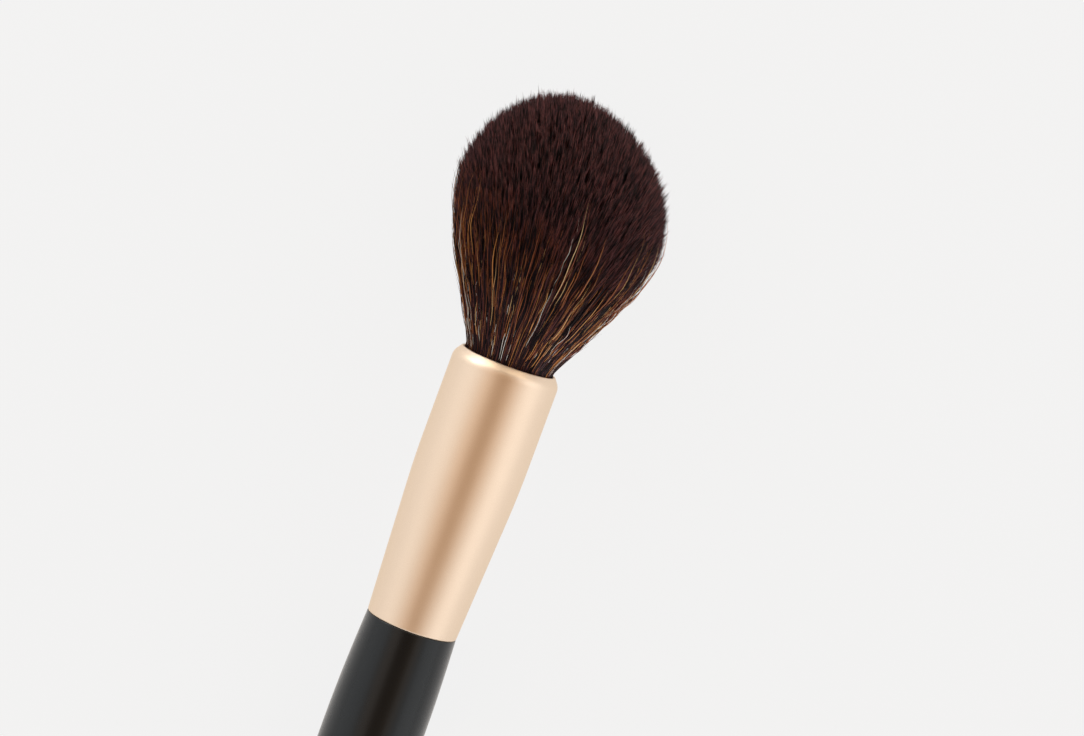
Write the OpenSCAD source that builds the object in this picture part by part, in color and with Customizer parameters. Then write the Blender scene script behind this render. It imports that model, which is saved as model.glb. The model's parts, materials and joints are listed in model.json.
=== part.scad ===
// Round blush brush, lying on a table as it comes to rest: a turned handle, a spun ferrule
// and a domed head of hair that is bound, set in resin and held by the ferrule's rolled lip.
//
// Every piece is drawn about the brush's own axis: it stands up along Z, the mouth of the
// ferrule is at z = 0, the hair is above it and the handle below. lay_down() then puts the
// whole brush on the table. The side at +X of each piece is the one that faces the table.

/* [Ferrule] */
// Length of the ferrule from its rolled lip to the handle
ferrule_len = 37; // [32:0.5:45]
// Outer diameter of the ferrule at its mouth
mouth_d = 14.5; // [13:0.1:18]
// Outer diameter of the ferrule and the handle where they meet
joint_d = 12.3; // [10:0.1:14]
// Length of the straight sleeve below the mouth, before the ferrule tapers
sleeve_len = 12.5; // [8:0.5:18]
// Length of the soft bend between the straight sleeve and the taper
bend_len = 7; // [3:0.5:10]
// Thickness of the ferrule's wall
ferrule_wall = 0.5; // [0.3:0.05:0.7]
// Outer radius of the lip that is rolled in over the hair
lip_r = 1.1; // [0.8:0.05:1.6]

/* [Head of hair] */
// Height of the crown above the ferrule's mouth
hair_reach = 36; // [30:0.5:44]
// Diameter of the head where it is widest
hair_wide_d = 28.4; // [22:0.2:34]
// Height of the widest place above the ferrule's mouth
hair_wide_at = 21; // [16:0.5:26]
// How far the crown leans to one side of the axis
hair_lean = 2.75; // [0:0.05:4]
// Depth of the roots below the ferrule's mouth
hair_set = 11; // [8:0.5:13]
// Gap between the hair and the rolled lip
hair_gap = 0.08; // [0.03:0.01:0.2]
// Number of locks that the hair parts into around the head
lock_count = 72; // [48:8:88]
// Height of a lock above the groove beside it
lock_depth = 0.6; // [0.1:0.05:0.8]
// Height of the ragged tips on the crown
tip_depth = 0.9; // [0.1:0.05:1.2]
// How far the soft hair flattens where it lies on the table
table_press = 0.6; // [0.4:0.1:1.2]

/* [Binding] */
// Diameter of the thread that ties the roots
thread_d = 0.5; // [0.3:0.05:0.7]
// Number of turns of the thread
thread_turns = 4; // [2:1:6]
// How far the thread pulls the roots in
thread_pinch = 0.5; // [0.2:0.05:0.8]

/* [Resin and glue] */
// Length of the resin plug behind the roots
resin_len = 5; // [3:0.5:7]
// How far the resin climbs around the roots
resin_climb = 1.2; // [0.6:0.1:2]
// Space between the resin plug and the handle's tenon
tenon_air = 1.5; // [0.8:0.1:3]
// Gap between cured resin or glue and the pieces that it holds
film_gap = 0.03; // [0.01:0.01:0.06]

/* [Handle] */
// Length of the handle that shows behind the ferrule
handle_len = 98; // [75:1:120]
// Diameter of the handle where it swells most
belly_d = 13.2; // [12.4:0.1:16]
// Distance from the ferrule to the widest place of the swell
belly_at = 15; // [9:0.5:25]
// Diameter of the rounded tail
tail_d = 6.8; // [5:0.1:9]
// Gap between the tenon and the ferrule's narrow end
tenon_gap = 0.08; // [0.04:0.01:0.15]
// Chamfer on the tip of the tenon
tenon_chamfer = 0.8; // [0.3:0.1:1.5]
// Radius of the rounded edge of the handle's shoulder
shoulder_r = 0.15; // [0.05:0.05:0.4]

/* [Hidden] */
$fn = 96;

mouth_r = mouth_d / 2;
joint_r = joint_d / 2;
wide_r = hair_wide_d / 2;
tail_r = tail_d / 2;
tail_z = -(ferrule_len + handle_len);

// The ferrule narrows by this much radius for each millimetre of its tapered part.
taper = (mouth_r - joint_r) / (ferrule_len - sleeve_len - bend_len / 2);

// The hair fills the hole in the rolled lip, and the thread pulls its roots in.
lip_hole_r = mouth_r - lip_r;
neck_r = lip_hole_r - hair_gap;
root_r = neck_r - thread_pinch;

// The roots' end, the resin and the tenon follow one another down the ferrule.
root_z = -hair_set;
resin_top_z = root_z + resin_climb;
resin_back_z = root_z - resin_len;
tenon_tip_z = resin_back_z - tenon_air;
tenon_r = joint_r - ferrule_wall - tenon_gap;

// Turns of thread lie a little closer than their thickness, as wound thread beds in.
thread_pitch = thread_d * 0.9;
thread_z = resin_top_z + film_gap + thread_d / 2;
thread_top_z = thread_z + (thread_turns - 1) * thread_pitch + thread_d / 2;
root_flare = 1.5;

// Steps along an outline's curves
arc_steps = 8;
curve_steps = 18;

// A point on the curve from a to d that leaves towards b and arrives from c
function bezier(a, b, c, d, t) =
    a * (1 - t) ^ 3 + b * 3 * t * (1 - t) ^ 2 + c * 3 * t ^ 2 * (1 - t) + d * t ^ 3;

// Points of an arc about a centre, from one angle to another
function arc(centre, r, from, to, steps = arc_steps) =
    [for (i = [0:steps]) let (a = from + (to - from) * i / steps) centre + r * [cos(a), sin(a)]];

function reversed(list) = [for (i = [len(list) - 1:-1:0]) list[i]];

// Outer radius of the ferrule at a height below its lip
function ferrule_r(z) =
    let (run = -z - sleeve_len)
    run <= 0 ? mouth_r
    : run < bend_len ? mouth_r - taper * run ^ 2 / (2 * bend_len)
    : mouth_r - taper * (run - bend_len / 2);

function bore_r(z) = ferrule_r(z) - ferrule_wall;

// Heights between two places at which the bore's outline needs a point
function bore_stations(top, bottom) =
    concat([top],
           [for (i = [0:arc_steps]) let (z = -sleeve_len - bend_len * i / arc_steps)
               if (z < top && z > bottom) z],
           [bottom]);

// Rest on the table: a line under the pressed hair that touches the round tail
press_r = wide_r - table_press;
rest_run = hair_wide_at - (tail_z + tail_r);
rest_tilt = atan2(press_r, rest_run) - asin(tail_r / norm([rest_run, press_r]));
rest_z = press_r * cos(rest_tilt) - hair_wide_at * sin(rest_tilt);

function height_over_table(p) = p.z * sin(rest_tilt) - p.x * cos(rest_tilt) + rest_z;

// Where the line of the brush lies once it is laid down
function laid_x(p) = p.z * cos(rest_tilt) + p.x * sin(rest_tilt);

// The head of hair: rings of points around the leaning centre line. A ring is
// [radius, height, columns, angle that its relief points up by, lock relief, tip relief].
head_columns = 2 * lock_count;
flank_rows = 14;
dome_rows = 24;
dome_top_angle = 84;
dome_rise = hair_reach - hair_wide_at;
// Part of the flank over which the locks rise out of the smooth neck
lock_rise = 0.45;
// Groups of locks stand out or lie back together by this share of a lock's height, and
// waver to either side by this angle as they climb.
clump_share = 0.4;
lock_sway = 1.4;
// Tips take over from locks up the dome: a higher power keeps the locks going further.
tip_onset = 1.5;
// A tip strays along the dome by this share of its own height.
tip_stray = 0.35;

hair_seed = 7;
column_noise = rands(-1, 1, head_columns, hair_seed);
tip_noise = rands(-1, 1, head_columns * 8 + 1, hair_seed + 1);
stray_noise = rands(-1, 1, head_columns * 8 + 1, hair_seed + 2);

function hair_centre(z) = z <= 0 ? 0 : hair_lean * (z / hair_reach) ^ 2;

// Columns thin out towards the crown, so that a tip keeps about one size.
function dome_columns(angle) =
    let (share = cos(angle))
    head_columns / (share > 0.8 ? 1 : share > 0.4 ? 2 : share > 0.2 ? 4 : 8);

root_rings = [
    [root_r, root_z, head_columns, 0, 0, 0],
    [root_r, thread_top_z, head_columns, 0, 0, 0],
    [neck_r, thread_top_z + root_flare, head_columns, 0, 0, 0],
    [neck_r, 0, head_columns, 0, 0, 0],
];

flank_rings = [
    for (i = [1:flank_rows])
        let (t = i / flank_rows,
             p = bezier([neck_r, 0],
                        [neck_r + 0.4 * (wide_r - neck_r), 0.38 * hair_wide_at],
                        [wide_r, 0.69 * hair_wide_at],
                        [wide_r, hair_wide_at], t))
        [p[0], p[1], head_columns, 0, lock_depth * min(1, t / lock_rise), 0],
];

dome_rings = [
    for (i = [1:dome_rows])
        let (angle = dome_top_angle * i / dome_rows, crown = sin(angle) ^ tip_onset)
        [wide_r * cos(angle), hair_wide_at + dome_rise * sin(angle), dome_columns(angle),
         angle, lock_depth * (1 - crown), tip_depth * crown],
];

hair_rings = concat(root_rings, flank_rings, dome_rings);

// Noise of one column, which stays with it where every second column has ended
function column_noise_at(ring, k) = column_noise[k * head_columns / ring[2]];

function noise_at(list, row, k) = list[(row * 37 + k * 11) % len(list)];

function clump(angle, z) =
    0.5 * sin(7 * angle + 40 + 9 * z) + 0.5 * sin(13 * angle - 25 - 14 * z);

// Locks alternate with grooves round a ring. Tips alternate from ring to ring as well. No two
// stand out by the same amount.
function relief(row, k) =
    let (ring = hair_rings[row],
         lock = (k % 2 == 0 ? 0.8 : -0.8) + 0.45 * column_noise_at(ring, k)
                + clump_share * clump(360 * k / ring[2], ring[1]),
         tip = ((k + row) % 2 == 0 ? 0.9 : -0.7) + 0.6 * noise_at(tip_noise, row, k))
    ring[4] * lock / 2 + ring[5] * tip / 2;

reliefs = [for (row = [0:len(hair_rings) - 1]) [for (k = [0:hair_rings[row][2] - 1]) relief(row, k)]];

function ring_point(row, k) =
    let (ring = hair_rings[row],
         sway = ring[4] + ring[5] == 0 ? 0 : lock_sway * sin(60 + 7 * ring[1] + 4 * 360 * k / ring[2]),
         angle = 360 * k / ring[2] + sway,
         out = reliefs[row][k],
         stray = ring[5] * tip_stray * noise_at(stray_noise, row, k),
         r = ring[0] + out * cos(ring[3]) - stray * sin(ring[3]),
         z = ring[1] + out * sin(ring[3]) + stray * cos(ring[3]))
    [r * cos(angle), r * sin(angle) + hair_centre(z), z];

// Hair below the table's surface is pressed up to it.
function pressed(p) = [p.x + min(0, height_over_table(p)) / cos(rest_tilt), p.y, p.z];

hair_points = concat(
    [for (row = [0:len(hair_rings) - 1], k = [0:hair_rings[row][2] - 1])
        pressed(ring_point(row, k))],
    [[0, hair_centre(hair_reach), hair_reach]]);

// Number of points before each ring
function ring_start(row) = row == 0 ? 0 : ring_start(row - 1) + hair_rings[row - 1][2];
ring_starts = [for (row = [0:len(hair_rings)]) ring_start(row)];

// Faces between a ring and the next, which has as many columns or half of them. A square is
// split between its two lower corners, so that crests and tips stay sharp.
function band_faces(row) =
    let (n = hair_rings[row][2], m = hair_rings[row + 1][2], a = ring_starts[row], b = ring_starts[row + 1],
         low = reliefs[row], high = reliefs[row + 1])
    n == m
    ? [for (k = [0:n - 1]) let (next = (k + 1) % n)
        each low[next] + high[k] < low[k] + high[next]
        ? [[a + k, b + k, a + next], [a + next, b + k, b + next]]
        : [[a + k, b + k, b + next], [a + k, b + next, a + next]]]
    : [for (k = [0:m - 1])
        let (left = a + 2 * k, mid = left + 1, right = a + (2 * k + 2) % n, next = b + (k + 1) % m)
        each [[left, b + k, mid], [mid, b + k, next], [mid, next, right]]];

crown_row = len(hair_rings) - 1;
hair_faces = concat(
    [[for (k = [0:head_columns - 1]) k]],
    [for (row = [0:crown_row - 1]) each band_faces(row)],
    [for (k = [0:hair_rings[crown_row][2] - 1])
        [ring_starts[crown_row] + k,
         len(hair_points) - 1,
         ring_starts[crown_row] + (k + 1) % hair_rings[crown_row][2]]]);

// The laid brush is centred over the origin.
tail_x = laid_x([0, 0, tail_z + tail_r]) - tail_r;
crown_x = max([for (p = hair_points) laid_x(p)]);
centre_x = (tail_x + crown_x) / 2;
centre_y = (max([for (p = hair_points) p.y]) + min([for (p = hair_points) p.y])) / 2;

module lay_down()
    translate([-centre_x, -centre_y, rest_z])
        rotate([0, 90 - rest_tilt, 0])
            children();

// Bundle of hair: tied roots, a round neck, a flaring flank of locks and a ragged dome
module hair_head()
    color("#2b1a1b")
        lay_down()
            polyhedron(hair_points, hair_faces, convexity = 6);

// Thread wound round the roots, its turns bedded into one another
module root_binding()
    color("#e8e2d2")
        lay_down()
            rotate_extrude()
                for (turn = [0:thread_turns - 1])
                    translate([root_r + film_gap + thread_d / 2, thread_z + turn * thread_pitch])
                        circle(d = thread_d, $fn = 24);

// Cast resin: a plug across the bore that climbs a little way round the ends of the hair
module root_resin()
    color("#c98f3c")
        lay_down()
            rotate_extrude()
                polygon(concat(
                    [[0, resin_back_z], [0, root_z], [root_r + film_gap, root_z],
                     [root_r + film_gap, resin_top_z]],
                    [for (z = bore_stations(resin_top_z, resin_back_z)) [bore_r(z) - film_gap, z]]));

// Spun tube: a straight sleeve with its lip rolled in, then a taper down to the handle
module ferrule() {
    lip_centre = [lip_hole_r, -lip_r];
    wall_stations = [for (i = [0:arc_steps]) -sleeve_len - bend_len * i / arc_steps];
    outside = concat(
        arc(lip_centre, lip_r, 90, 0),
        [for (z = wall_stations) [ferrule_r(z), z]],
        [[joint_r, -ferrule_len]]);
    inside = concat(
        arc(lip_centre, lip_r - ferrule_wall, 90, 0),
        [for (z = wall_stations) [bore_r(z), z]],
        [[joint_r - ferrule_wall, -ferrule_len]]);
    color("#e6c39c")
        lay_down()
            rotate_extrude()
                polygon(concat(outside, reversed(inside)));
}

// Glue that fills the tapered room between the straight tenon and the ferrule's bore
module tenon_glue() {
    glue_top_z = tenon_tip_z - tenon_chamfer;
    glue_back_z = -ferrule_len + film_gap;
    color("#efe3b8")
        lay_down()
            rotate_extrude()
                polygon(concat(
                    [[tenon_r + film_gap, glue_back_z], [tenon_r + film_gap, glue_top_z]],
                    [for (z = bore_stations(glue_top_z, glue_back_z)) [bore_r(z) - film_gap, z]]));
}

// Turned wood in one piece: tenon, shoulder, a soft swell, a long taper and a round tail
module handle() {
    shoulder_z = -ferrule_len;
    belly = [belly_d / 2, shoulder_z - belly_at];
    tail_centre = [0, tail_z + tail_r];
    taper_len = belly[1] - tail_centre[1];
    rise = belly[0] - joint_r;
    tenon = [[0, tenon_tip_z], [tenon_r - tenon_chamfer, tenon_tip_z],
             [tenon_r, tenon_tip_z - tenon_chamfer], [tenon_r, shoulder_z]];
    shoulder = arc([joint_r - shoulder_r, shoulder_z - shoulder_r], shoulder_r, 90, 0, 4);
    swell = [for (i = [1:arc_steps]) bezier(
        [joint_r, shoulder_z - shoulder_r], [joint_r + 0.5 * rise, shoulder_z - 0.3 * belly_at],
        [belly[0], shoulder_z - 0.6 * belly_at], belly, i / arc_steps)];
    long_taper = [for (i = [1:curve_steps]) bezier(
        belly, belly - [0, 0.35 * taper_len],
        [tail_r, tail_centre[1] + 0.25 * taper_len], [tail_r, tail_centre[1]], i / curve_steps)];
    tail = [for (p = arc(tail_centre, tail_r, 0, -90)) if (p[1] < tail_centre[1]) [max(0, p[0]), p[1]]];
    color("#1d1d1f")
        lay_down()
            rotate_extrude()
                polygon(concat(tenon, shoulder, swell, long_taper, tail));
}

hair_head();
root_binding();
root_resin();
ferrule();
tenon_glue();
handle();
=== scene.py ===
# %% [markdown]
# # A blush brush, seen from above
# The brush lies on a pale table and the camera looks straight down on it. The CAD model gives
# every piece its place and size. This script adds what the CAD model leaves plain: the finish of
# the metal and the lacquer, and a head made of many thousand separate hairs.

# %% Load the CAD model as a fixed frame
import json
import math

import bmesh
import bpy
import numpy as np
from mathutils import Matrix, Vector
from mathutils.kdtree import KDTree


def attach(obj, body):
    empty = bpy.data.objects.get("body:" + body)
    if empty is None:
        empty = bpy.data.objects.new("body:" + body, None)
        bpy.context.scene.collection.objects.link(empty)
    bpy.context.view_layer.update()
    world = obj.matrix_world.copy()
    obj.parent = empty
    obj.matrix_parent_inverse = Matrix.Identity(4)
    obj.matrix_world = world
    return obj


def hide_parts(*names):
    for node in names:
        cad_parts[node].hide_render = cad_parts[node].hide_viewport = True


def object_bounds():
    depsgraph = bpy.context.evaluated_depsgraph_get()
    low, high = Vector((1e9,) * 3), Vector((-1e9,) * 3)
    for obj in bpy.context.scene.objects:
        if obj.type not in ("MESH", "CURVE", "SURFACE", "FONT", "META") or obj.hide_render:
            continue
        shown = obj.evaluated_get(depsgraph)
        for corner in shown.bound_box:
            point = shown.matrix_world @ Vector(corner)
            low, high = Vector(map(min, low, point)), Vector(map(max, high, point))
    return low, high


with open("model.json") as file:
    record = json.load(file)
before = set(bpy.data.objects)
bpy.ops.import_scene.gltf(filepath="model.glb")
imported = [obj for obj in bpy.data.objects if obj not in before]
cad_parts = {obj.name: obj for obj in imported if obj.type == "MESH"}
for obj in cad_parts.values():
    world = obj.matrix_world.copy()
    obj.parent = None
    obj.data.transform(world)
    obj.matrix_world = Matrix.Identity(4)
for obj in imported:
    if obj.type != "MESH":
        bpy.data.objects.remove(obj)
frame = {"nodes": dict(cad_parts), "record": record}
cad_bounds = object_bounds()
print("CAD nodes:", ", ".join(sorted(frame["nodes"])))

# %% [markdown]
# ## Brush space
# A brush is a turned thing, so its pieces are easiest to draw standing up: the mouth of the ferrule
# at the origin, the crown of the hair up along +Z, and sizes in millimetres. One matrix then lays
# them on the table. It comes from the mount on the ferrule's straight sleeve, which says where the
# axis runs, so the pieces follow the CAD model if it moves.

# %% Brush axes from the sleeve mount
MM = 0.001
LIP_R = 1.1  # the mount's straight sleeve starts below the rounded lip

sleeve = next(m for m in frame["record"]["mounts"] if m["name"] == "ferrule_sleeve")
MOUTH_R = sleeve["dims"]["r_mm"]
toward_crown = -Vector(sleeve["axis"]).normalized()
mouth = Vector(sleeve["pos_m"]) + toward_crown * (sleeve["dims"]["length_mm"] / 2 + LIP_R) * MM
toward_lean = Vector((0, 1, 0))
toward_table = toward_lean.cross(toward_crown)
brush_turn = Matrix((toward_table, toward_lean, toward_crown)).transposed()
on_table = Matrix.Translation(mouth) @ brush_turn.to_4x4() @ Matrix.Scale(MM, 4)
print("mouth of the ferrule at", [round(v / MM, 2) for v in mouth], "mm")

# %% [markdown]
# ## Camera
# The photo's perspective tells where the camera was. The ferrule's mouth and its joint are the same
# kind of circle, and each shows as an ellipse of another flatness. Both fit a camera about half a
# metre above the mouth, tipped a little from straight down towards the crown's side. The brush's
# lean in the frame and the place of the mouth set the rest, so the camera needs no shift.

# %% Camera above the table
PHOTO_W, PHOTO_H = 1084, 736
MOUTH_PIXEL = (508.9, 361.0)
PIXEL_SIZE = 0.1300 * MM
BRUSH_LEAN = math.radians(20.22)
CAMERA_TIP = math.radians(2.5)
CAMERA_DISTANCE = 490 * MM
SENSOR = 36.0

image_right = Vector((math.sin(BRUSH_LEAN), -math.cos(BRUSH_LEAN), 0))
page_up = Vector((math.cos(BRUSH_LEAN), math.sin(BRUSH_LEAN), 0))
image_up = page_up * math.cos(CAMERA_TIP) - Vector((0, 0, 1)) * math.sin(CAMERA_TIP)
backward = image_right.cross(image_up)
across = image_right * (PHOTO_W / 2 - MOUTH_PIXEL[0]) * PIXEL_SIZE
down = -image_up * (PHOTO_H / 2 - MOUTH_PIXEL[1]) * PIXEL_SIZE

camera = bpy.data.objects.new("camera", bpy.data.cameras.new("camera"))
camera.data.sensor_width = SENSOR
camera.data.lens = SENSOR * CAMERA_DISTANCE / (PHOTO_W * PIXEL_SIZE)
camera.data.clip_start = 10 * MM
camera_turn = Matrix((image_right, image_up, backward)).transposed().to_4x4()
camera.matrix_world = Matrix.Translation(mouth + across + down + backward * CAMERA_DISTANCE) @ camera_turn
bpy.context.collection.objects.link(camera)
bpy.context.scene.camera = camera
bpy.context.scene.view_settings.view_transform = "Standard"
print(f"lens {camera.data.lens:.1f} mm")

# %% [markdown]
# ## Colours and nodes
# Colours are written as a designer reads them, in sRGB hex, and turned to the linear values that
# shaders work with. One small helper adds a node, sets its options, and fills each input with a
# value or with a link from another node.

# %% Helpers for materials
def linear(hex_colour):
    """sRGB hex, such as "f2f2f2", as linear red, green, blue and alpha."""
    parts = [int(hex_colour[i:i + 2], 16) / 255 for i in (0, 2, 4)]
    return [c / 12.92 if c <= 0.04045 else ((c + 0.055) / 1.055) ** 2.4 for c in parts] + [1.0]


def add_node(tree, kind, inputs=None, stops=None, **settings):
    """Adds a node. An input is a value or another node's output. Stops fill a colour ramp, its two
    ends first."""
    made = tree.nodes.new(kind)
    for name, value in settings.items():
        setattr(made, name, value)
    for name, value in (inputs or {}).items():
        if isinstance(value, bpy.types.NodeSocket):
            tree.links.new(value, made.inputs[name])
        else:
            made.inputs[name].default_value = value
    for place, (position, hex_colour) in enumerate(stops or []):
        ramp = made.color_ramp.elements
        stop = ramp[place] if place < 2 else ramp.new(position)
        stop.position = position
        stop.color = linear(hex_colour)
    return made


def new_material(name):
    """A material with an empty node tree and its output node."""
    material = bpy.data.materials.new(name)
    material.use_nodes = True
    material.node_tree.nodes.clear()
    return material, material.node_tree, material.node_tree.nodes.new("ShaderNodeOutputMaterial")


# %% [markdown]
# ## Table
# The photo's background is one even pale grey. A plain table would look uneven under soft boxes, so
# most of what the camera sees of it is its own colour, and the rest is lit and keeps the brush's
# soft shadow. The metal's edges reflect the table beside the brush, so reflected rays see that
# colour too, a little less of it, as card this close to the brush stands partly in its shade.

# %% Table
TABLE_COLOUR = "f2f2f2"
TABLE_HALF = 2.5
TABLE_OWN_COLOUR = 0.94  # the share of its own colour that the camera sees
TABLE_IN_METAL = 0.87  # and that a reflection sees
TABLE_GLOW = 1.015

bm = bmesh.new()
bmesh.ops.create_grid(bm, x_segments=1, y_segments=1, size=TABLE_HALF)
bmesh.ops.translate(bm, verts=bm.verts, vec=(0, 0, cad_bounds[0][2]))
table_mesh = bpy.data.meshes.new("table")
bm.to_mesh(table_mesh)
bm.free()
table = bpy.data.objects.new("table", table_mesh)
bpy.context.collection.objects.link(table)

material, tree, output = new_material("matt_white_card")
lit = add_node(tree, "ShaderNodeBsdfDiffuse", {"Color": linear(TABLE_COLOUR)})
own = add_node(tree, "ShaderNodeEmission", {"Color": linear(TABLE_COLOUR), "Strength": TABLE_GLOW})
path = add_node(tree, "ShaderNodeLightPath")
glossy, through = path.outputs["Is Glossy Ray"], path.outputs["Is Transmission Ray"]
either = add_node(tree, "ShaderNodeMath", {0: glossy, 1: through}, operation="MAXIMUM")
mirrored = add_node(tree, "ShaderNodeMath", {0: either.outputs[0], 1: TABLE_IN_METAL}, operation="MULTIPLY")
seen = add_node(tree, "ShaderNodeMath", {0: path.outputs["Is Camera Ray"], 1: TABLE_OWN_COLOUR},
                operation="MULTIPLY")
share = add_node(tree, "ShaderNodeMath", {0: seen.outputs[0], 1: mirrored.outputs[0]}, operation="MAXIMUM")
mix = add_node(tree, "ShaderNodeMixShader", {0: share.outputs[0], 1: lit.outputs[0], 2: own.outputs[0]})
tree.links.new(mix.outputs[0], output.inputs["Surface"])
table_mesh.materials.append(material)
print("table at", round(cad_bounds[0][2] / MM, 3), "mm")

# %% [markdown]
# ## Light
# Satin metal shows what is around it, so the lamps are placed by what the ferrule should reflect. A
# long soft box on each side of the brush makes its two broad light bands. A real soft box is
# brighter in its middle than at its rim, so each is two lamps, one inside the other. The gap between
# the boxes, straight overhead, shows a dim and warm ceiling: the dark band.
#
# The other lamps stand in line with the brush. The box beyond the crown lights the hair's tips and
# the rolled lip, a small strong one to its left makes the bright spot on the lip, and a weak one to
# its right fills the lip there. The box beyond the tail draws the thin line of light at the joint.

# %% Lamps
aside = Vector((0, -1, 0))
along = Vector((1, 0, 0))
overhead = Vector((0, 0, 1))
aim = Vector(sleeve["pos_m"])
BOX_DISTANCE = 0.5


def soft_box(name, near, far, turn, length, glow, colour="ffffff"):
    """A rectangular lamp that spans two angles from overhead, turned from the brush's right side.
    Glow is its brightness, where 1 is as bright as lit white card."""
    tilt, half = math.radians((near + far) / 2), math.radians((far - near) / 2)
    outward = aside * math.cos(math.radians(turn)) + along * math.sin(math.radians(turn))
    way = overhead * math.cos(tilt) + outward * math.sin(tilt)
    length_way = overhead.cross(outward).normalized()
    lamp = bpy.data.lights.new(name, "AREA")
    lamp.shape = "RECTANGLE"
    lamp.size = length
    lamp.size_y = 2 * BOX_DISTANCE * math.tan(half)
    lamp.energy = glow * math.pi * lamp.size * lamp.size_y
    lamp.color = linear(colour)[:3]
    box = bpy.data.objects.new(name, lamp)
    turned_to_aim = Matrix((length_way, way.cross(length_way), way)).transposed().to_4x4()
    box.matrix_world = Matrix.Translation(aim + way * BOX_DISTANCE) @ turned_to_aim
    box.visible_camera = False
    bpy.context.collection.objects.link(box)
    return box


soft_boxes = [
    soft_box("left_rim", near=15, far=89, turn=180, length=1.1, glow=0.48),
    soft_box("left_middle", near=46, far=89, turn=180, length=1.1, glow=0.33),
    soft_box("right_rim", near=24, far=89, turn=0, length=1.2, glow=0.50),
    soft_box("right_middle", near=50, far=89, turn=0, length=1.2, glow=0.48),
    soft_box("crown_box", near=59, far=76, turn=91, length=0.6, glow=3.3, colour="ffeed2"),
    soft_box("crown_spot", near=69, far=89, turn=138, length=0.28, glow=3.8),
    soft_box("crown_right", near=40, far=72, turn=26, length=0.25, glow=0.35),
    soft_box("tail_box", near=54, far=87, turn=270, length=0.6, glow=0.95)]
print(len(soft_boxes), "lamps")

# %% World
world = bpy.data.worlds.new("studio")
bpy.context.scene.world = world
world.use_nodes = True
tree = world.node_tree
tree.nodes.clear()
direction = add_node(tree, "ShaderNodeTexCoord").outputs["Generated"]
rise = add_node(tree, "ShaderNodeSeparateXYZ", {"Vector": direction})
air_colour = add_node(tree, "ShaderNodeValToRGB", {"Fac": rise.outputs["Z"]}, [
    (0.66, "7c7c7c"), (1.00, "805c32"), (0.87, "b88c54")])
path = add_node(tree, "ShaderNodeLightPath")
air = add_node(tree, "ShaderNodeBackground", {"Color": air_colour.outputs["Color"], "Strength": 1.0})
page = add_node(tree, "ShaderNodeBackground", {"Color": linear(TABLE_COLOUR), "Strength": 1.0})
mix = add_node(tree, "ShaderNodeMixShader", {
    0: path.outputs["Is Camera Ray"], 1: air.outputs[0], 2: page.outputs[0]})
output = add_node(tree, "ShaderNodeOutputWorld", {"Surface": mix.outputs[0]})
print("a dim world with a warm ceiling")

# %% [markdown]
# ## Turned pieces
# The ferrule is spun from a tube and the handle is turned on a lathe. Blender's spin does the same:
# it carries a profile once round the axis. The profile is drawn in brush space as points of radius
# and height, with its round stretches as arcs and curves. Cylinders and cones could be stacked up
# instead, but they would leave a crease wherever two meet, and satin metal shows every crease.

# %% Helpers for turned pieces
SPIN_STEPS = 160
SHARP_ANGLE = math.radians(35)


def arc(centre, radius, start, end, steps=8):
    """Points of radius and height on an arc, its angles in degrees from the radius direction."""
    angles = [math.radians(start + (end - start) * i / steps) for i in range(steps + 1)]
    return [(centre[0] + radius * math.cos(a), centre[1] + radius * math.sin(a)) for a in angles]


def bezier(a, b, c, d, steps=16):
    """Points on the curve from a to d that leaves towards b and arrives from c."""
    made = []
    for t in (i / steps for i in range(steps + 1)):
        weights = ((1 - t) ** 3, 3 * t * (1 - t) ** 2, 3 * t ** 2 * (1 - t), t ** 3)
        made.append(tuple(sum(w * p[k] for w, p in zip(weights, (a, b, c, d))) for k in (0, 1)))
    return made


def finished(bm, name, material, node=None):
    """Lays a bmesh drawn in brush space on the table as a piece that rides with the brush."""
    bm.transform(on_table)
    mesh = bpy.data.meshes.new(name)
    bm.to_mesh(mesh)
    bm.free()
    mesh.materials.append(material)
    piece = bpy.data.objects.new(name, mesh)
    bpy.context.collection.objects.link(piece)
    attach(piece, "root")
    if node:
        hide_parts(node)
    print(f"{name}: {len(mesh.polygons)} faces")
    return piece


def spun(profile):
    """A bmesh made by spinning a profile of (radius, height) points once round the axis."""
    bm = bmesh.new()
    verts = [bm.verts.new((r, 0, z)) for r, z in profile]
    edges = [bm.edges.new(pair) for pair in zip(verts, verts[1:])]
    bmesh.ops.spin(bm, geom=verts + edges, cent=(0, 0, 0), axis=(0, 0, 1),
                   angle=math.tau, steps=SPIN_STEPS, use_merge=True)
    bmesh.ops.remove_doubles(bm, verts=bm.verts, dist=0.001)
    bmesh.ops.recalc_face_normals(bm, faces=bm.faces)
    for face in bm.faces:
        face.smooth = True
    for edge in bm.edges:
        edge.smooth = edge.calc_face_angle(0) < SHARP_ANGLE
    return bm


# %% [markdown]
# ## Ferrule
# The real one is an aluminium tube, spun to a taper, blasted with fine beads and then anodised in a
# champagne tone. The beads leave a satin skin: it has no clear mirror image, only broad soft bands,
# with a grain that is just too fine to see. Its colour comes from the metal's own reflection, so
# the shader is fully metallic. On a metal, Specular Tint is the tint of its grazing reflection, which
# is a touch warmer here. The grain is noise in three dimensions, because a picture wrapped round the
# tube would show a seam.
#
# The mouth is rolled in over the hair. The roll is one long arc, and the tube's cut edge is a small
# one that meets it smoothly. At the joint the cut edge is rounded a little too, as a sharp edge of
# real metal never is.

# %% Champagne anodised aluminium
BEAD_GRAIN = 0.09 * MM
BEAD_DENT = 0.01 * MM
SATIN_CLOUD = 9 * MM

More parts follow.
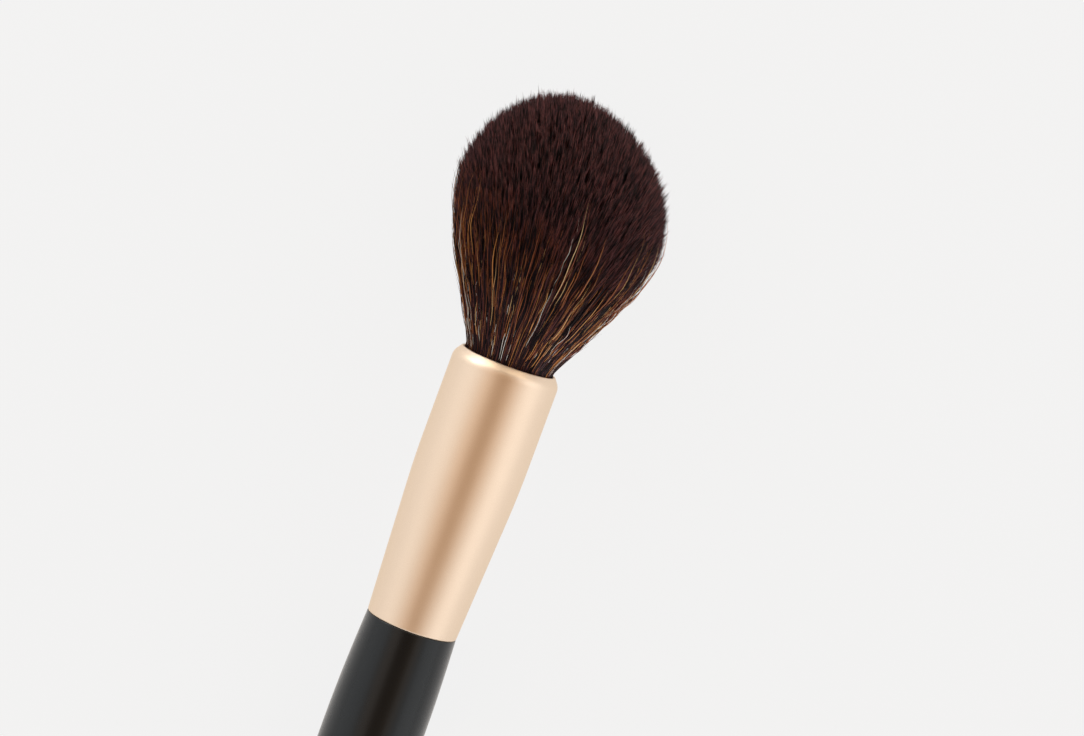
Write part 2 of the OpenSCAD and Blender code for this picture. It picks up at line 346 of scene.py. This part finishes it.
anodised, tree, output = new_material("champagne_anodised_aluminium")
place = add_node(tree, "ShaderNodeTexCoord").outputs["Object"]
grain = add_node(tree, "ShaderNodeTexNoise", {"Vector": place, "Scale": 1 / BEAD_GRAIN, "Detail": 2.0})
cloud = add_node(tree, "ShaderNodeTexNoise", {"Vector": place, "Scale": 1 / SATIN_CLOUD, "Detail": 3.0})
satin = add_node(tree, "ShaderNodeMapRange", {
    "Value": cloud.outputs["Fac"], "To Min": 0.41, "To Max": 0.46})
tone = add_node(tree, "ShaderNodeValToRGB", {"Fac": grain.outputs["Fac"]}, [
    (0.3, "f1dac2"), (0.7, "f8e2cb")])
dents = add_node(tree, "ShaderNodeBump", {
    "Height": grain.outputs["Fac"], "Strength": 0.12, "Distance": BEAD_DENT})
metal = add_node(tree, "ShaderNodeBsdfPrincipled", {
    "Base Color": tone.outputs["Color"], "Metallic": 1.0, "Specular Tint": linear("fffaf0"),
    "Roughness": satin.outputs["Result"], "Normal": dents.outputs["Normal"]})
tree.links.new(metal.outputs[0], output.inputs["Surface"])
print(f"{anodised.name}: a grain of {BEAD_GRAIN / MM:.2f} mm")

# %% Ferrule
FERRULE_LEN = 37.0
JOINT_R = 6.15
SLEEVE_LEN = 12.5
BEND_LEN = 7.0
WALL = 0.5
CUT_EDGE = 0.24
ROLL_LEN = 1.7
ROLL_R = 1.8
ROLL_END = math.radians(36)
EDGE_R = 0.2
EDGE_SLANT = 8  # degrees by which the roll's inner side stops short of its outer side

taper = (MOUTH_R - JOINT_R) / (FERRULE_LEN - SLEEVE_LEN - BEND_LEN / 2)


def ferrule_r(z):
    """Outer radius of the ferrule at a height below its mouth."""
    run = -z - SLEEVE_LEN
    if run <= 0:
        return MOUTH_R
    return MOUTH_R - taper * (run ** 2 / (2 * BEND_LEN) if run < BEND_LEN else run - BEND_LEN / 2)


# The cut edge at the mouth is an arc that a short straight cone joins to the end of the roll.
roll = (MOUTH_R - ROLL_R, -ROLL_LEN)
rolled_r = MOUTH_R - ROLL_R * (1 - math.cos(ROLL_END))
rolled_z = ROLL_R * math.sin(ROLL_END) - ROLL_LEN
cone = EDGE_R * (math.sin(ROLL_END) - 1) - rolled_z
edge = (rolled_r - cone * math.tan(ROLL_END) - EDGE_R * math.cos(ROLL_END), -EDGE_R)
bends = [-SLEEVE_LEN - BEND_LEN * i / 8 for i in range(9)]
roll_end = math.degrees(ROLL_END)
outside = arc(edge, EDGE_R, 180, roll_end, 8) + arc(roll, ROLL_R, roll_end, 0, 12)
outside += [(ferrule_r(z), z) for z in bends]
cut = arc((JOINT_R - CUT_EDGE, CUT_EDGE - FERRULE_LEN), CUT_EDGE, 0, -90, 4)
inside = [(JOINT_R - WALL, -FERRULE_LEN)] + [(ferrule_r(z) - WALL, z) for z in reversed(bends)]
rolled_in = arc(roll, ROLL_R - WALL, 0, roll_end - EDGE_SLANT, 8)
profile = outside + cut + inside + rolled_in
ferrule = finished(spun(profile + profile[:1]), "ferrule_shell", anodised, "ferrule")

# %% [markdown]
# ## Handle
# Turned birch under matt black lacquer. The matting powder in the lacquer scatters light, so a soft
# box shows on it only as a grey that grows towards the edges, where all surfaces reflect more. The
# powder itself lights up at the very edge, and a little sheen stands for that.
#
# The handle swells a little below the ferrule and then runs out in a long taper to a round tail. Its
# tenon goes up inside the ferrule, where the glue holds it. The swell and the taper are two curves
# that both run along the axis where they meet, so the gloss flows over the belly without a break.

# %% Matt black lacquer
ORANGE_PEEL = 0.6 * MM
PEEL_DENT = 0.01 * MM
MATT_CLOUD = 7 * MM

lacquer, tree, output = new_material("matt_black_lacquer")
place = add_node(tree, "ShaderNodeTexCoord").outputs["Object"]
peel = add_node(tree, "ShaderNodeTexNoise", {"Vector": place, "Scale": 1 / ORANGE_PEEL, "Detail": 3.0})
cloud = add_node(tree, "ShaderNodeTexNoise", {"Vector": place, "Scale": 1 / MATT_CLOUD, "Detail": 3.0})
matt = add_node(tree, "ShaderNodeMapRange", {
    "Value": cloud.outputs["Fac"], "To Min": 0.25, "To Max": 0.30})
tone = add_node(tree, "ShaderNodeValToRGB", {"Fac": cloud.outputs["Fac"]}, [
    (0.3, "030b11"), (0.7, "050d13")])
skin = add_node(tree, "ShaderNodeBump", {
    "Height": peel.outputs["Fac"], "Strength": 0.1, "Distance": PEEL_DENT})
coat = add_node(tree, "ShaderNodeBsdfPrincipled", {
    "Base Color": tone.outputs["Color"], "Roughness": matt.outputs["Result"], "IOR": 1.44,
    "Sheen Weight": 0.4, "Sheen Roughness": 0.35, "Normal": skin.outputs["Normal"]})
tree.links.new(coat.outputs[0], output.inputs["Surface"])
print(f"{lacquer.name}: an orange peel of {ORANGE_PEEL / MM:.1f} mm")

# %% Handle
HANDLE_LEN = 98.0
BELLY_R = 6.6
BELLY_AT = 15.0
TAIL_R = 3.4
SHOULDER_R = 0.15
TENON_R = 5.57
TENON_TIP = -17.5
TENON_CHAMFER = 0.8

shoulder = -FERRULE_LEN
belly = (BELLY_R, shoulder - BELLY_AT)
tail = (0, shoulder - HANDLE_LEN + TAIL_R)
taper_len = belly[1] - tail[1]
tenon = [(0, TENON_TIP), (TENON_R - TENON_CHAMFER, TENON_TIP), (TENON_R, TENON_TIP - TENON_CHAMFER),
         (TENON_R, shoulder)]
# The inner points of both curves are shares of their length. They set how full the handle looks.
swell = bezier((JOINT_R, shoulder - SHOULDER_R), ((JOINT_R + BELLY_R) / 2, shoulder - 0.3 * BELLY_AT),
               (BELLY_R, shoulder - 0.6 * BELLY_AT), belly)
long_taper = bezier(belly, (BELLY_R, belly[1] - 0.35 * taper_len), (TAIL_R, tail[1] + 0.25 * taper_len),
                    (TAIL_R, tail[1]), 40)
profile = (tenon + arc((JOINT_R - SHOULDER_R, shoulder - SHOULDER_R), SHOULDER_R, 90, 0, 4) + swell[1:]
           + long_taper[1:] + arc(tail, TAIL_R, 0, -90, 12)[1:-1] + [(0, tail[1] - TAIL_R)])
handle = finished(spun(profile), "lacquered_handle", lacquer, "handle")

# %% [markdown]
# ## Where the hairs run
# A head of hair isn't carved: its shape comes from where each hair starts, which way it points and
# how long it is. The hairs leave the ferrule packed in a disc and fan out like rays from a point
# below it. A brush maker sets the lengths in a cup, so the tips lie on a smooth outline: a flank
# that flares and a dome like half an egg. So each hair is cut where its ray meets that outline.

# %% Outline of the head
HAIR_REACH = 35.75
WIDE_R = 14.0
WIDE_AT = 21.0
DOME_POWER = 1.16  # 1 would make half an ellipse, and more makes it more pointed
NECK_GAP = 0.2
NECK_R = MOUTH_R - LIP_R - NECK_GAP
HAIR_LEAN = 2.55
FAN = 0.53  # how far the outermost hair goes out for each millimetre up
STRAIGHT = 1.2  # the height over which it bends out


def spread(height):
    """Radius of the bundle at a height: the hairs come out straight and then splay."""
    above = np.maximum(height, 0)
    return NECK_R + FAN * above ** 2 / (above + STRAIGHT)


# The flank leaves the neck at a slant and arrives upright at the widest place.
flare_r = NECK_R + 0.4 * (WIDE_R - NECK_R)
flank = bezier((NECK_R, 0), (flare_r, 0.38 * WIDE_AT), (WIDE_R, 0.69 * WIDE_AT), (WIDE_R, WIDE_AT), 40)
dome = [(WIDE_R * math.cos(a) ** DOME_POWER, WIDE_AT + (HAIR_REACH - WIDE_AT) * math.sin(a))
        for a in np.linspace(0, math.pi / 2, 60)[1:]]
outline = np.array(flank + dome)

# A hair is cut at the last height at which its ray is still within the outline.
heights = np.linspace(0, HAIR_REACH, 721)
shares = np.linspace(0, 1, 201)
rays = shares[:, None] * spread(heights)
within = rays <= np.interp(heights, outline[:, 1], outline[:, 0])
cut_heights = heights[len(heights) - 1 - np.argmax(within[:, ::-1], axis=1)]
print(f"middle hair {cut_heights[0]:.1f} mm, outer hair {cut_heights[-1]:.1f} mm")


# %% Helpers that follow the rays
def lean(height):
    """How far the leaning head is off the axis at a height."""
    return HAIR_LEAN * (np.maximum(height, 0) / HAIR_REACH) ** 3


def cut_height(roots):
    """Height at which the ray of each root, a point in the unit disc, meets the outline."""
    return np.interp(np.hypot(roots[..., 0], roots[..., 1]), shares, cut_heights)


def on_ray(roots, height):
    """Where the ray of each root is at a height, in brush space."""
    wide = spread(height)
    return np.stack([roots[..., 0] * wide, roots[..., 1] * wide + lean(height), height], axis=-1)


print(f"the crown leans {lean(HAIR_REACH):.2f} mm off the axis")

# %% [markdown]
# ## Core
# Only the outer millimetres of the bundle can be seen, so the rest is one dark solid. It also holds
# the tied roots inside the ferrule. Between the hairs it shows as deep shade. It lies closer under
# the outline near the mouth, where the hairs are packed, and it is cut flat over the table, so that
# it stays hidden under the hairs that are pressed there.

# %% Packed hair
HAIR_MOTTLE = 0.5 * MM

packed_hair, tree, output = new_material("packed_hair")
place = add_node(tree, "ShaderNodeTexCoord").outputs["Object"]
mottle = add_node(tree, "ShaderNodeTexNoise", {"Vector": place, "Scale": 1 / HAIR_MOTTLE, "Detail": 3.0})
tone = add_node(tree, "ShaderNodeValToRGB", {"Fac": mottle.outputs["Fac"]}, [
    (0.3, "080404"), (0.7, "120909")])
dull = add_node(tree, "ShaderNodeBsdfPrincipled", {"Base Color": tone.outputs["Color"], "Roughness": 0.8})
tree.links.new(dull.outputs[0], output.inputs["Surface"])
print(f"{packed_hair.name}: mottled at {HAIR_MOTTLE / MM:.1f} mm")

# %% Core of the bundle
ROOT_R = NECK_R - 0.5  # the thread binds the roots this much tighter
ROOT_Z = -11.0
BINDING_TOP = -8.0
WIDENS_IN = 1.5
CORE_GAP = 0.3
CORE_DEPTH = 2.4
DEPTH_AT_MOUTH = 0.3  # as a share of the full depth, which grows in with the height
DEPTH_GROWS = 12

inner = []
for r, z in outline[::3]:
    depth = CORE_DEPTH * min(1, DEPTH_AT_MOUTH + z / DEPTH_GROWS)
    inner.append((max(r - depth, 0), z - CORE_DEPTH * z / HAIR_REACH))
profile = [(0, ROOT_Z), (ROOT_R, ROOT_Z), (ROOT_R, BINDING_TOP),
           (NECK_R - CORE_GAP, BINDING_TOP + WIDENS_IN)]
profile += inner + [(0, HAIR_REACH - CORE_DEPTH)]
bm = spun(profile)
for vert in bm.verts:
    vert.co.y += lean(vert.co.z)
    height = (on_table @ vert.co).z / MM
    if height < CORE_DEPTH:
        vert.co.x += (CORE_DEPTH - height) / toward_table.z
hair_core = finished(bm, "hair_core", packed_hair, "hair_head")

# %% [markdown]
# ## Sweeping hairs
# Blender keeps hair as curves, each a row of points with a radius. It could render them as they are,
# but a part in a library has to be a mesh, so Geometry Nodes sweeps a small triangle along them.
# Three sides are enough for something a tenth of a millimetre thick, with its faces smooth, and a
# radius of nothing draws each tip out to a point. A value called shade goes with every point into
# the mesh, and the hair's material turns it into colour.

# %% Geometry Nodes that sweep hairs
sweep_tree = bpy.data.node_groups.new("sweep_hairs", "GeometryNodeTree")
sweep_tree.interface.new_socket("Geometry", in_out="OUTPUT", socket_type="NodeSocketGeometry")
guide_node = add_node(sweep_tree, "GeometryNodeObjectInfo")
straight = add_node(sweep_tree, "GeometryNodeCurveSplineType", {"Curve": guide_node.outputs["Geometry"]},
                    spline_type="POLY")
section = add_node(sweep_tree, "GeometryNodeCurvePrimitiveCircle", {"Resolution": 3, "Radius": 1.0})
thickness = add_node(sweep_tree, "GeometryNodeInputRadius")
swept = add_node(sweep_tree, "GeometryNodeCurveToMesh", {
    "Curve": straight.outputs["Curve"], "Profile Curve": section.outputs["Curve"],
    "Scale": thickness.outputs["Radius"], "Fill Caps": True})
closed = add_node(sweep_tree, "GeometryNodeMergeByDistance", {
    "Geometry": swept.outputs["Mesh"], "Distance": 1e-7})
add_node(sweep_tree, "NodeGroupOutput", {"Geometry": closed.outputs["Geometry"]})
print("a tree of", len(sweep_tree.nodes), "nodes sweeps the hairs")

# %% [markdown]
# One function makes every piece of hair. A hair that would pass through the table lies on it
# instead, and those hairs share a layer half a millimetre thick, so that they don't fall together.

# %% Helper that sweeps a piece of hair
LAYER_FROM = 0.1
LAYER = 0.5

turn = np.array(brush_turn) * MM
table_top = cad_bounds[0][2]


def sweep(name, paths, radii, shades, material):
    """Makes a piece of hairs from points in brush space, with a radius and a shade at each point."""
    hairs, points = paths.shape[:2]
    places = paths @ turn.T + np.array(mouth)
    lowest = table_top + (LAYER_FROM + LAYER * chance.random((hairs, 1))) * MM
    places[..., 2] = np.maximum(places[..., 2], lowest)

    guide_data = bpy.data.hair_curves.new(name)
    guide_data.add_curves([points] * hairs)
    guide_data.points.foreach_set("position", places.astype(np.float32).ravel())
    for key, values in (("radius", radii * MM), ("shade", shades)):
        row = guide_data.attributes.get(key) or guide_data.attributes.new(key, "FLOAT", "POINT")
        row.data.foreach_set("value", np.broadcast_to(values, (hairs, points)).astype(np.float32).ravel())
    guide = bpy.data.objects.new(name + "_guide", guide_data)
    bpy.context.collection.objects.link(guide)
    guide_node.inputs["Object"].default_value = guide

    piece = bpy.data.objects.new(name, bpy.data.meshes.new(name))
    bpy.context.collection.objects.link(piece)
    piece.modifiers.new("sweep", "NODES").node_group = sweep_tree
    solid = bpy.data.meshes.new_from_object(piece.evaluated_get(bpy.context.evaluated_depsgraph_get()))
    piece.modifiers.clear()
    piece.data = solid
    solid.name = name
    solid.materials.clear()
    solid.materials.append(material)
    bpy.data.objects.remove(guide)
    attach(piece, "root")
    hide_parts("hair_head")
    print(f"{name}: {hairs} hairs, {sum(len(p.vertices) - 2 for p in solid.polygons)} triangles")
    return piece


# %% [markdown]
# ## Hair colour
# Goat hair dyed brown-black. Each hair takes the dye a little differently, so the head is a mix of
# near-black and reddish brown, with here and there a copper one. A hair is a glossy cylinder, and
# what it gives the eye is a thin line of light along it, tinted by the dye that the light crosses.
# Blender's own hair shader works that out, but other programs can't read it, so the plain shader
# gets a tinted highlight instead. A few hairs take little dye. They keep the copper, the gold or
# the silver of the goat.

# %% Dyed and undyed goat hair
def hair_material(name, shade_colours, skin):
    """A material for hairs. The shade picks the colour, and skin holds the shader's own values."""
    material, tree, output = new_material(name)
    shade = add_node(tree, "ShaderNodeAttribute", attribute_name="shade")
    tone = add_node(tree, "ShaderNodeValToRGB", {"Fac": shade.outputs["Fac"]}, shade_colours)
    hair_skin = add_node(tree, "ShaderNodeBsdfPrincipled", {"Base Color": tone.outputs["Color"], **skin})
    tree.links.new(hair_skin.outputs[0], output.inputs["Surface"])
    return material


dyed = hair_material("dyed_goat_hair", [
    (0.0, "010102"), (1.0, "c88a50"), (0.25, "050304"), (0.42, "160c10"), (0.6, "3a2329"),
    (0.75, "6b4043"), (0.88, "8c4c30")],
    {"Roughness": 0.34, "Specular IOR Level": 0.24, "Specular Tint": (1.0, 0.78, 0.84, 1.0)})
undyed = hair_material("undyed_goat_hair", [
    (0.0, "6a3020"), (1.0, "f6f8f6"), (0.35, "ac5e34"), (0.65, "e8a254"), (0.9, "fadaa2")],
    {"Roughness": 0.36})
print(dyed.name, "and", undyed.name)

# %% [markdown]
# ## Roots and tufts
# The hairs are spread evenly over the disc of roots. Near their tips they lean together in tufts
# a few tenths of a millimetre apart, each a bit longer or shorter than the next, which gives the
# dome its spiky edge. The tufts sit at steps of the golden angle, as the seeds of a sunflower do,
# because that fills a disc evenly.

# %% Roots and tufts
HAIRS = 41000
TUFTS = 8000
GOLDEN_ANGLE = math.pi * (3 - math.sqrt(5))
TURN_SCATTER = 0.02
ROOT_SCATTER = 0.008
TUFT_LENGTH = 0.17
TUFT_LONGEST = 0.8
TUFT_TINT = 0.12
TUFT_LEAN = 0.02

chance = np.random.default_rng(11)
order = np.arange(TUFTS)
tuft_turn = order * GOLDEN_ANGLE + chance.normal(0, TURN_SCATTER, TUFTS)
tuft_share = np.sqrt((order + 0.5) / TUFTS)
tuft_roots = np.stack([tuft_share * np.cos(tuft_turn), tuft_share * np.sin(tuft_turn)], axis=-1)
tuft_roots += chance.normal(0, ROOT_SCATTER, tuft_roots.shape)
tuft_length = np.minimum(chance.exponential(TUFT_LENGTH, TUFTS), TUFT_LONGEST)
tuft_shade = chance.normal(0, TUFT_TINT, TUFTS)
tuft_swing = chance.normal(0, TUFT_LEAN, tuft_roots.shape)

tuft_finder = KDTree(TUFTS)
for index, (x, y) in enumerate(tuft_roots):
    tuft_finder.insert((x, y, 0), index)
tuft_finder.balance()

share = np.sqrt(chance.random(HAIRS))
turn_round = chance.random(HAIRS) * math.tau
roots = np.stack([share * np.cos(turn_round), share * np.sin(turn_round)], axis=-1)
tuft = np.array([tuft_finder.find((x, y, 0))[1] for x, y in roots])
print(f"{HAIRS} hairs in {TUFTS} tufts")

# %% [markdown]
# ## Growing the head
# Each hair runs up its ray, wavers a little, and leans into its tuft near the tip. Most tips end a
# little short of their tuft's length, and a few stick out.

# %% Helpers that grow hairs
TIP_SHORT = 0.3
LONG_SHARE = 0.03
PULL = 0.62
PULL_FROM = 6.0
LOOSE = 0.13
LOOSE_FROM = 4
WANDER = 0.1
FREE_FROM = 3  # below this height the mouth holds the hairs too tight to waver


def tip_heights(picked):
    """Height of the tip of each picked hair."""
    short = np.abs(chance.normal(0, TIP_SHORT, len(picked)))
    sticks_out = chance.random(len(picked)) < LONG_SHARE
    long = np.where(sticks_out, chance.uniform(0.2, 0.6, len(picked)), 0)
    return cut_height(roots[picked]) + tuft_length[tuft[picked]] - short + long


def grow(picked, tip, height):
    """Paths of the picked hairs through the given heights, pulled into their tufts near the tip."""
    root, hair_tuft = roots[picked], tuft[picked]
    behind = tip[:, None] - height
    pull = PULL * np.clip(1 - behind / PULL_FROM, 0, 1) ** 1.5
    target = tuft_roots[hair_tuft] + tuft_swing[hair_tuft]
    now = root[:, None, :] + (target - root)[:, None, :] * pull[..., None]
    paths = on_ray(now, height)
    loose = chance.normal(0, LOOSE, (len(root), 1, 2))
    paths[..., :2] += loose * np.clip(1 - behind / LOOSE_FROM, 0, 1)[..., None]
    wave = chance.uniform(5, 12, (len(root), 1))
    phase = chance.random((len(root), 1)) * math.tau
    swing = chance.normal(0, WANDER, (len(root), 1, 2))
    free = np.clip(height / FREE_FROM, 0, 1)
    paths[..., :2] += swing * (free * np.sin(height / wave * math.tau + phase))[..., None]
    return paths


# %% [markdown]
# ## Dyed hairs
# Hairs that start deep inside show only at their tips, so they get three points. The further out a
# hair starts, the more of it shows, and the more points it gets. A hair on the flank has two at the
# mouth, three on the way up and one at its tip.
#
# A hair's shade is its tuft's plus its own. Towards the tip it is painted lighter: a painted glow
# that stands for the light shining through the thin tips. Low on the flank the shades lie closer
# together, but some hairs are copper. They reach higher on the side where the roots' second value
# is 1, the left side in the camera's view. A triangle of this radius looks as wide as a real goat hair,
# about 0.08 mm.

# %% Dyed hairs
HAIR_R = 0.049
TAPER = 1.4
SHADE = 0.23
SHADE_SPREAD = 0.6
# painted glow: how much lighter the tips are painted, for the light shining through them
PAINTED_TIP_GLOW = 0.56
LIGHTEST = 0.76  # no dyed hair on the dome is lighter
MIXED_BELOW = 20.0
MIXED_LEAN = 6.0
MIXED_CALM = 0.45
COPPER_SHARE = 0.07
ON_FLANK = np.array([0.0, 0.4, 1.0])
FLANK_FROM, FLANK_TO = 2.2, 1.6  # from the mouth, and from the tip

# The name of each group of pieces, the shares of the radius that its roots lie between, how many
# pieces it makes, and how far behind the tip its points are.
GROUPS = (
    ("hair_tips_inner", 0.0, 0.6, 2, (9.0, TAPER, 0.0)),
    ("hair_tips_outer", 0.6, 0.86, 3, (15.0, 7.0, TAPER, 0.0)),
    ("hair_flank", 0.86, 1.0, 3, None))


def flank_heights(tip):
    """Heights of the points of hairs that show from the mouth to the tip."""
    low = np.broadcast_to([-1.0, 0.5], (len(tip), 2))
    high = FLANK_FROM + (tip[:, None] - FLANK_TO - FLANK_FROM) * ON_FLANK
    return np.concatenate([low, high, tip[:, None]], axis=1)


for name, first, last, parts, behind in GROUPS:
    chosen = np.flatnonzero((share > first) & (share <= last))
    for part, picked in enumerate(np.array_split(chosen, parts)):
        tip = tip_heights(picked)
        height = tip[:, None] - np.array(behind) if behind else flank_heights(tip)
        paths = grow(picked, tip, height)
        mixed = np.clip(1 - height / (MIXED_BELOW + MIXED_LEAN * roots[picked, 1:]), 0, 1)
        own = tuft_shade[tuft[picked]] + chance.normal(0, SHADE_SPREAD, len(picked))
        copper = (chance.random(len(picked)) < COPPER_SHARE) * chance.uniform(0.2, 0.8, len(picked))
        from_tip = np.clip((tip[:, None] - height) / TAPER, 0, 1)
        shades = SHADE + own[:, None] * (1 - MIXED_CALM * mixed) + copper[:, None] * mixed ** 0.6
        # The tips are painted lighter: a painted glow for the light that shines through them.
        shades += PAINTED_TIP_GLOW * (1 - from_tip)
        shades = np.clip(shades, 0, np.minimum(LIGHTEST + 0.5 * mixed, 1))
        sweep(f"{name}_{part + 1}", paths, HAIR_R * from_tip, shades, dyed)

# %% [markdown]
# ## Undyed hairs
# Among the dark hairs lie some that took little dye: copper and gold, and a few silver ones. They
# are wavier than the rest, lie on the outside of the bundle, and dive into it before they reach the
# dome. A lock of them lies together along the left edge.

# %% Helpers for hairs on the outside
def near_outline(turns, share, height):
    """Paths that run up the outside of the bundle, at turns round it and a share of its radius."""
    outer = np.minimum(np.interp(height, outline[:, 1], outline[:, 0]) / spread(height), 1) * share
    return on_ray(np.stack([outer * np.cos(turns), outer * np.sin(turns)], axis=-1), height)


def waves(paths, height, length, swing):
    """Adds a sideways wave to each path, which starts only above the mouth."""
    phase = chance.random((len(height), 1)) * math.tau
    lift = np.clip(height / FREE_FROM, 0, 1) * np.sin(height / length * math.tau + phase)
    paths[..., :2] += chance.uniform(-1.5, 1.5, (len(height), 1, 2)) * (swing * lift)[..., None]


# %% Copper, gold and silver hairs
LIGHT_HAIRS = 600
LIGHT_POINTS = 22
SILVER_SHARE = 0.09
LOCK_HAIRS = 30
LOCK_TURN = math.radians(120)
LOCK_SPREAD = 0.12
LOCK_SILVER = 0.4
MOUTH_SHARE = 0.55
JUST_INSIDE = -0.6
DIVE = 0.04
DRIFT = 0.6
DRIFT_MOST = 0.7
DRIFT_AT = 20

each = (LIGHT_HAIRS, 1)
in_lock = np.arange(LIGHT_HAIRS)[:, None] < LOCK_HAIRS
silver = chance.random(each) < np.where(in_lock, LOCK_SILVER, SILVER_SHARE)
lock_turns = chance.normal(LOCK_TURN, LOCK_SPREAD, each)
turns = np.where(in_lock, lock_turns, chance.random(each) * math.tau)

run = np.linspace(0, 1, LIGHT_POINTS)[None, :]
ends_buried = np.clip(np.minimum(run * 5, (1 - run) * 2.5), 0, 1)
from_mouth = chance.random(each) < MOUTH_SHARE
start = np.where(from_mouth, JUST_INSIDE, chance.uniform(0.5, 10, each))
length = 5 + 15 * chance.beta(1.4, 2.0, each) * (1 - 0.3 * silver)
height = start + length * run

share_out = chance.uniform(0.965, 1.008, each) + 0.01 * (silver | in_lock) - DIVE * (1 - ends_buried)
paths = near_outline(turns, share_out, height)
short_waves, long_waves = chance.uniform(3, 5, each), chance.uniform(3.5, 9, each)
waves(paths, height, np.where(silver, short_waves, long_waves), 0.11 + 0.03 * silver)
drift = np.clip(chance.normal(0, DRIFT, (LIGHT_HAIRS, 1, 2)), -DRIFT_MOST, DRIFT_MOST)
paths[..., :2] += drift * np.clip(height / DRIFT_AT, 0, 1)[..., None]

thick = chance.uniform(0.034, 0.058, each) * (1 - 0.15 * silver) * ends_buried
own = np.where(silver, 1.0, chance.beta(1.2, 1.3, each) * 0.9)
sweep("undyed_hairs", paths, thick, own, undyed)

# %% [markdown]
# ## Strays
# No real brush is quite smooth. Some dark hairs stand off from the flank, the more so the nearer
# they come to their tips.

# %% Stray hairs
STRAYS = 150
STRAY_R = 0.035

each = (STRAYS, 1)
height = JUST_INSIDE + run * chance.uniform(6, 24, each)
away = chance.uniform(0.1, 0.8, each) * run ** 2
turns = chance.random(each) * math.tau
paths = near_outline(turns, 1 + away / spread(height), height)
waves(paths, height, chance.uniform(5, 10, each), 0.12)
thick = STRAY_R * np.clip((1 - run) * 4, 0, 1)
sweep("stray_hairs", paths, thick, chance.uniform(0.3, 1.0, each), dyed)

# %% [markdown]
# ## Inside the ferrule
# Three pieces can't be seen: the cotton thread that ties the roots, the resin they are set in, and
# the glue round the tenon. Their shapes in the CAD model are right, so they stay, and each gets the
# look of the real stuff, for whoever cuts the model open.

# %% Cotton thread, resin and glue
THREAD = 0.5 * MM
THREAD_ROUND = 0.1 * MM
PALE_CLOUD = 1.5 * MM
WAVE_FACTOR = 20  # at a scale of 1, a wave texture repeats this many times in tau metres


def refinish(node, material):
    """Gives a CAD node that stays as it is the material of the real one."""
    for slot in frame["nodes"][node].material_slots:
        slot.material = material


cotton, tree, output = new_material("waxed_cotton_thread")
place = add_node(tree, "ShaderNodeTexCoord").outputs["Object"]
windings = add_node(tree, "ShaderNodeTexWave", {
    "Vector": place, "Scale": math.tau / (WAVE_FACTOR * THREAD)})
tone = add_node(tree, "ShaderNodeValToRGB", {"Fac": windings.outputs["Fac"]}, [
    (0.1, "8d7f68"), (0.8, "e6dcc6")])
round_thread = add_node(tree, "ShaderNodeBump", {
    "Height": windings.outputs["Fac"], "Distance": THREAD_ROUND})
fibre = add_node(tree, "ShaderNodeBsdfPrincipled", {
    "Base Color": tone.outputs["Color"], "Roughness": 0.75, "Normal": round_thread.outputs["Normal"]})
tree.links.new(fibre.outputs[0], output.inputs["Surface"])
refinish("root_binding", cotton)

for node, name, dark, light, roughness in (
        ("root_resin", "amber_epoxy_resin", "9a6426", "c48a3e", 0.12),
        ("tenon_glue", "white_wood_glue", "ded3b6", "efe7d2", 0.35)):
    stuff, tree, output = new_material(name)
    place = add_node(tree, "ShaderNodeTexCoord").outputs["Object"]
    cloud = add_node(tree, "ShaderNodeTexNoise", {"Vector": place, "Scale": 1 / PALE_CLOUD, "Detail": 3.0})
    tone = add_node(tree, "ShaderNodeValToRGB", {"Fac": cloud.outputs["Fac"]}, [(0.3, dark), (0.7, light)])
    set_hard = add_node(tree, "ShaderNodeBsdfPrincipled", {
        "Base Color": tone.outputs["Color"], "Roughness": roughness, "IOR": 1.5})
    tree.links.new(set_hard.outputs[0], output.inputs["Surface"])
    refinish(node, stuff)
print("refinished", [slot.material.name for node in ("root_binding", "root_resin", "tenon_glue")
                     for slot in frame["nodes"][node].material_slots])
